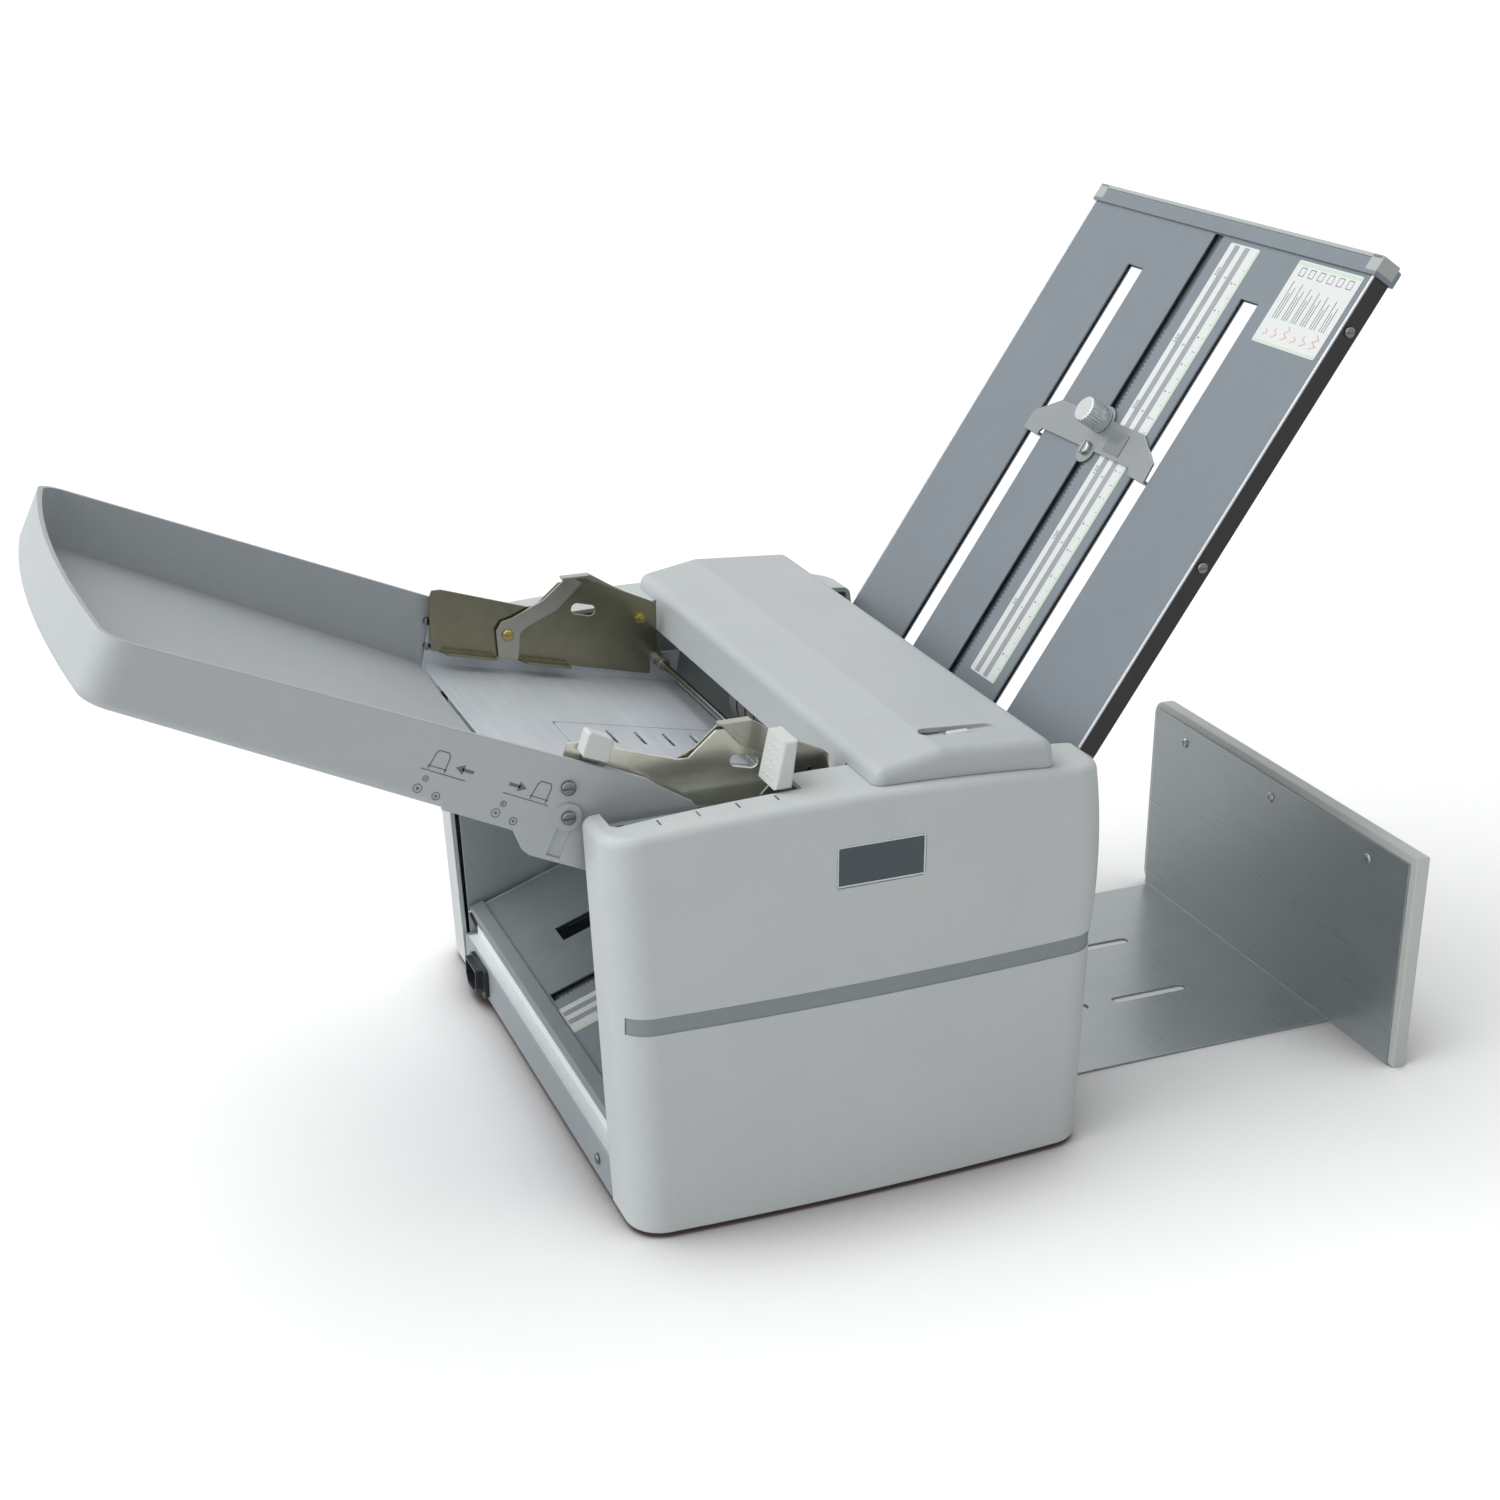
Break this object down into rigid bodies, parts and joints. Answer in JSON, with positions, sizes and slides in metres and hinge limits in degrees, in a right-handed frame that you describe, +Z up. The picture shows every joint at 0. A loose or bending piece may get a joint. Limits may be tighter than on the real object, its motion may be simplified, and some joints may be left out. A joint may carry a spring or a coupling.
{
  "type": "paper folding machine",
  "caption": "Desk paper folding machine with a sloping feed tray, fold rollers, slotted fold plates with sliding stoppers and a paper stacker",
  "frame": {"origin": "on the table under the middle of the bounding box", "axes": "+X the way the paper travels, from feed tray to stacker; +Y away from the operator; +Z up"},
  "size_m": [0.8385, 0.43, 0.5389],
  "materials": {
    "frame_steel": "satin grey paint",
    "pan_steel": "satin grey paint",
    "foot_rubber": "matte",
    "cover_plastic": "fine moulded texture, pale grey",
    "hood_plastic": "fine moulded texture, pale grey",
    "stripe_plastic": "smooth, mid grey",
    "badge_plastic": "glossy dark, bare",
    "black_plastic": "fine moulded texture",
    "screw_steel": "zinc plated",
    "motor_paint": "satin dark paint",
    "belt_rubber": "matte",
    "tray_plastic": "smooth grey",
    "table_steel": "satin blue-grey paint",
    "bright_steel": "brushed",
    "roller_rubber": "matte",
    "bush_bronze": "plain",
    "brass_screw": "turned",
    "ground_steel": "ground",
    "gear_plastic": "moulded acetal",
    "plate_paint": "satin metallic grey paint",
    "cap_plastic": "smooth off-white",
    "bar_aluminium": "satin",
    "white_plastic": "ribbed, off-white",
    "stacker_steel": "satin grey paint"
  },
  "bodies": {
    "machine": {"side_frame_near": "frame_steel", "side_frame_far": "frame_steel", "base_pan": "pan_steel", "rubber_feet": "foot_rubber", "side_cover_near": "cover_plastic", "side_cover_far": "cover_plastic", "accent_strips": "stripe_plastic", "badge_plate": "badge_plastic", "power_inlet": "black_plastic", "exit_panel": "pan_steel", "body_fasteners": "screw_steel", "drive_motor": "motor_paint", "drive_belt": "belt_rubber", "feed_tray": "tray_plastic", "feed_table": "table_steel", "guide_bar": "bright_steel", "separator_holder": "black_plastic", "separator_pad": "roller_rubber", "shaft_bearings": "bush_bronze", "upper_plate_face": "plate_paint", "upper_plate_back": "plate_paint", "upper_plate_cap": "cap_plastic", "lower_plate_face": "plate_paint", "lower_plate_back": "plate_paint", "lower_plate_cap": "cap_plastic"},
    "hood": {"hood": "hood_plastic"},
    "latch": {"hood_latch": "hood_plastic"},
    "lift": {"lift_plate": "table_steel"},
    "cassette": {"cassette_lever": "bright_steel", "cassette_lever_cap": "black_plastic"},
    "guide_near": {"side_guide_near": "table_steel", "guide_strip_near": "bright_steel", "guide_screws_near": "brass_screw"},
    "guide_far": {"side_guide_far": "table_steel", "guide_strip_far": "bright_steel", "guide_screws_far": "brass_screw"},
    "roller_1": {"fold_roller_1": "ground_steel", "roller_gear_1": "gear_plastic"},
    "roller_2": {"fold_roller_2": "ground_steel", "roller_gear_2": "gear_plastic"},
    "roller_3": {"fold_roller_3": "ground_steel", "roller_gear_3": "gear_plastic"},
    "roller_4": {"fold_roller_4": "ground_steel", "roller_gear_4": "gear_plastic"},
    "feed": {"feed_shaft": "ground_steel", "feed_roller": "roller_rubber", "feed_gear": "gear_plastic"},
    "idler": {"idler_gear": "gear_plastic"},
    "pulley": {"motor_pulley": "bright_steel"},
    "upper_stop": {"upper_stopper_bar": "bar_aluminium", "upper_stopper_clamp": "screw_steel"},
    "upper_knob": {"upper_stopper_knob": "bar_aluminium"},
    "lower_stop": {"lower_stopper_bar": "bar_aluminium", "lower_stopper_clamp": "screw_steel"},
    "lower_knob": {"lower_stopper_knob": "bar_aluminium"},
    "stacker": {"stacker_tray": "stacker_steel", "stacker_panel": "cover_plastic", "stacker_screws": "screw_steel"},
    "lever": {"operating_lever": "bright_steel", "operating_lever_cap": "white_plastic"}
  },
  "joints": [
    {"name": "hood_hinge", "type": "hinge", "parent": "machine", "child": "hood", "pos_m": [0.0785, 0.201, 0.2712], "axis": [-1, 0, 0], "range_deg": [0, 75]},
    {"name": "latch_slide", "type": "slide", "parent": "hood", "child": "latch", "axis": [0, 1, 0], "range_m": [0, 0.0025], "stiffness_N_per_m": 200, "springref_m": -0.001},
    {"name": "lift_plate_hinge", "type": "hinge", "parent": "machine", "child": "lift", "pos_m": [-0.09652, 0, 0.22852], "axis": [0, -1, 0], "range_deg": [-2, 0]},
    {"name": "cassette_lever_slide", "type": "slide", "parent": "machine", "child": "cassette", "axis": [0.9212, 0, -0.3891], "range_m": [0, 0.014]},
    {"name": "guide_near_slide", "type": "slide", "parent": "machine", "child": "guide_near", "axis": [0, 1, 0], "range_m": [0, 0.075]},
    {"name": "guide_far_slide", "type": "slide", "parent": "machine", "child": "guide_far", "axis": [0, -1, 0], "range_m": [0, 0.075]},
    {"name": "roller_2_spin", "type": "hinge", "parent": "machine", "child": "roller_2", "pos_m": [0.103, 0, 0.185], "axis": [0, 1, 0], "continuous": true},
    {"name": "roller_1_spin", "type": "hinge", "parent": "machine", "child": "roller_1", "pos_m": [0.09737, 0, 0.21691], "axis": [0, 1, 0], "continuous": true},
    {"name": "roller_3_spin", "type": "hinge", "parent": "machine", "child": "roller_3", "pos_m": [0.1326, 0, 0.17182], "axis": [0, 1, 0], "continuous": true},
    {"name": "roller_4_spin", "type": "hinge", "parent": "machine", "child": "roller_4", "pos_m": [0.12367, 0, 0.14068], "axis": [0, 1, 0], "continuous": true},
    {"name": "feed_spin", "type": "hinge", "parent": "machine", "child": "feed", "pos_m": [0.04, 0, 0.24], "axis": [0, 1, 0], "continuous": true},
    {"name": "idler_spin", "type": "hinge", "parent": "machine", "child": "idler", "pos_m": [0.06148, 0.1745, 0.21055], "axis": [0, 1, 0], "continuous": true},
    {"name": "motor_spin", "type": "hinge", "parent": "machine", "child": "pulley", "pos_m": [0.095, 0.188, 0.058], "axis": [0, 1, 0], "continuous": true},
    {"name": "upper_stop_slide", "type": "slide", "parent": "machine", "child": "upper_stop", "axis": [0.5534, 0, 0.8329], "range_m": [-0.14766, 0.06597]},
    {"name": "upper_knob_spin", "type": "hinge", "parent": "upper_stop", "child": "upper_knob", "pos_m": [0.27858, 0.0015, 0.41006], "axis": [-0.8329, 0, 0.5534], "range_deg": [-950, 2120]},
    {"name": "lower_stop_slide", "type": "slide", "parent": "machine", "child": "lower_stop", "axis": [0.9397, 0, 0.342], "range_m": [-0.0754, 0.06283]},
    {"name": "lower_knob_spin", "type": "hinge", "parent": "lower_stop", "child": "lower_knob", "pos_m": [0.00619, 0.0015, 0.10143], "axis": [-0.342, 0, 0.9397], "range_deg": [-905, 1085]},
    {"name": "stacker_slide", "type": "slide", "parent": "machine", "child": "stacker", "axis": [1, 0, 0], "range_m": [-0.15, 0.04]},
    {"name": "operating_lever_hinge", "type": "hinge", "parent": "machine", "child": "lever", "pos_m": [-0.0724, -0.178, 0.062], "axis": [0, 1, 0], "range_deg": [-20.2, 0]}
  ],
  "couplings": [
    {"joint": "roller_1_spin", "follows": "roller_2_spin", "ratio": -1},
    {"joint": "roller_3_spin", "follows": "roller_2_spin", "ratio": -1},
    {"joint": "roller_4_spin", "follows": "roller_2_spin", "ratio": 1},
    {"joint": "idler_spin", "follows": "roller_2_spin", "ratio": 0.8},
    {"joint": "feed_spin", "follows": "roller_2_spin", "ratio": -1},
    {"joint": "motor_spin", "follows": "roller_2_spin", "ratio": 2.5},
    {"joint": "cassette_lever_slide", "follows": "lift_plate_hinge", "m_per_rad": -0.4},
    {"joint": "upper_knob_spin", "follows": "upper_stop_slide", "rad_per_m": -250},
    {"joint": "lower_knob_spin", "follows": "lower_stop_slide", "rad_per_m": -250}
  ]
}
